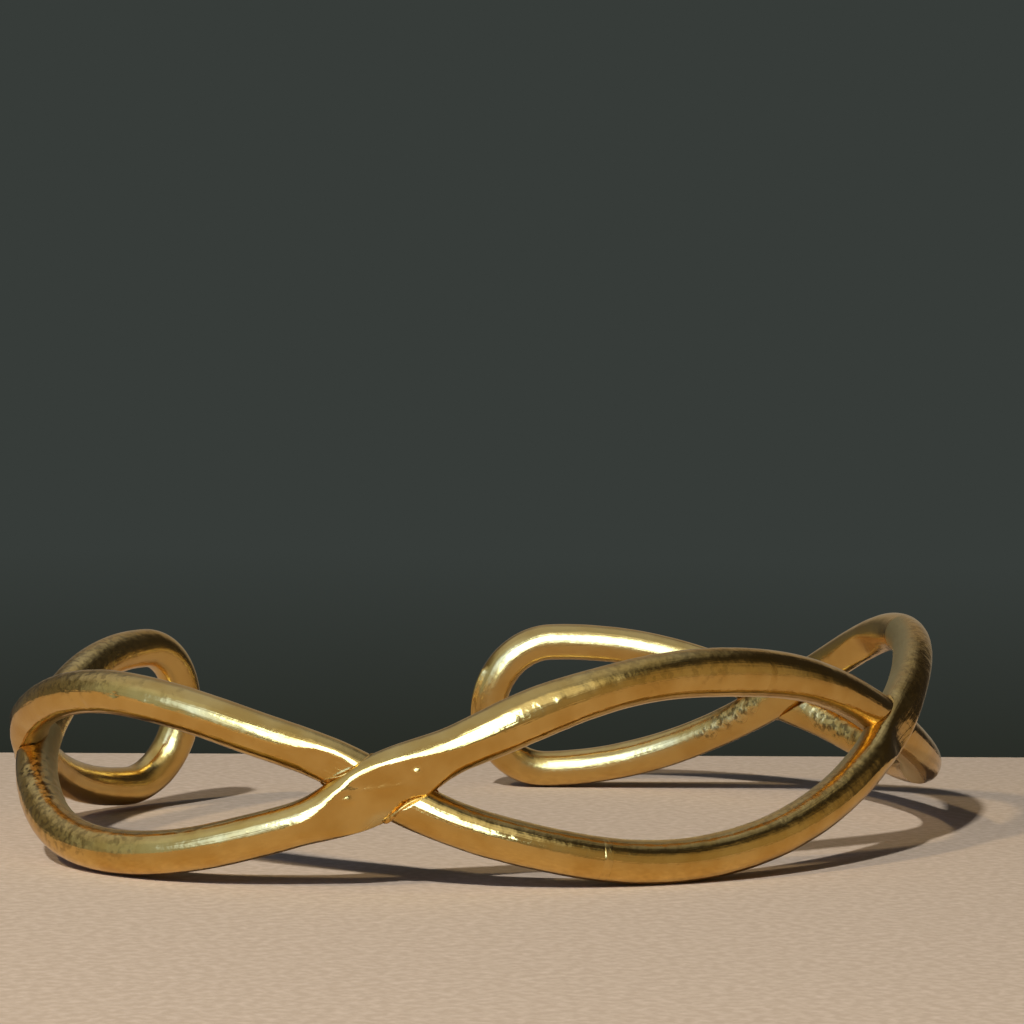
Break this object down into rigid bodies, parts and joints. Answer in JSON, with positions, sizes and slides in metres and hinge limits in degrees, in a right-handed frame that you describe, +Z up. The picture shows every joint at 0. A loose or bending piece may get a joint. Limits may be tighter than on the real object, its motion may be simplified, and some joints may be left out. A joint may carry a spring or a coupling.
{
  "type": "open cuff bangle bracelet",
  "caption": "Open cuff bangle of polished gold-tone round wire, twisted into a chain of open eyes with looped ends, that springs apart to go on a wrist.",
  "frame": {"origin": "on the surface that the cuff lies on, under the middle of its box", "axes": "+Z up out of that surface, +X along the cuff's longer way, +Y from the middle of the front to the opening at the back"},
  "size_m": [0.065, 0.0478, 0.0143],
  "materials": {
    "gold_wire": "mirror-polished gold-tone plate with fine hairlines",
    "gold_solder": "gold-tone solder, pitted and less polished"
  },
  "bodies": {
    "left_half": {"left_wire": "gold_wire", "left_front_solder": "gold_solder", "left_back_solder": "gold_solder", "upper_seam": "gold_solder", "lower_seam": "gold_solder"},
    "right_half": {"right_wire": "gold_wire", "right_front_solder": "gold_solder", "right_back_solder": "gold_solder"}
  },
  "joints": [
    {"name": "cuff_spring", "type": "hinge", "parent": "left_half", "child": "right_half", "pos_m": [-0.00015, -0.02176, 0.00687], "axis": [0, 0, -1], "range_deg": [-4, 8], "stiffness_Nm_per_rad": 7.5, "deforming": ["upper_seam", "lower_seam"]}
  ]
}
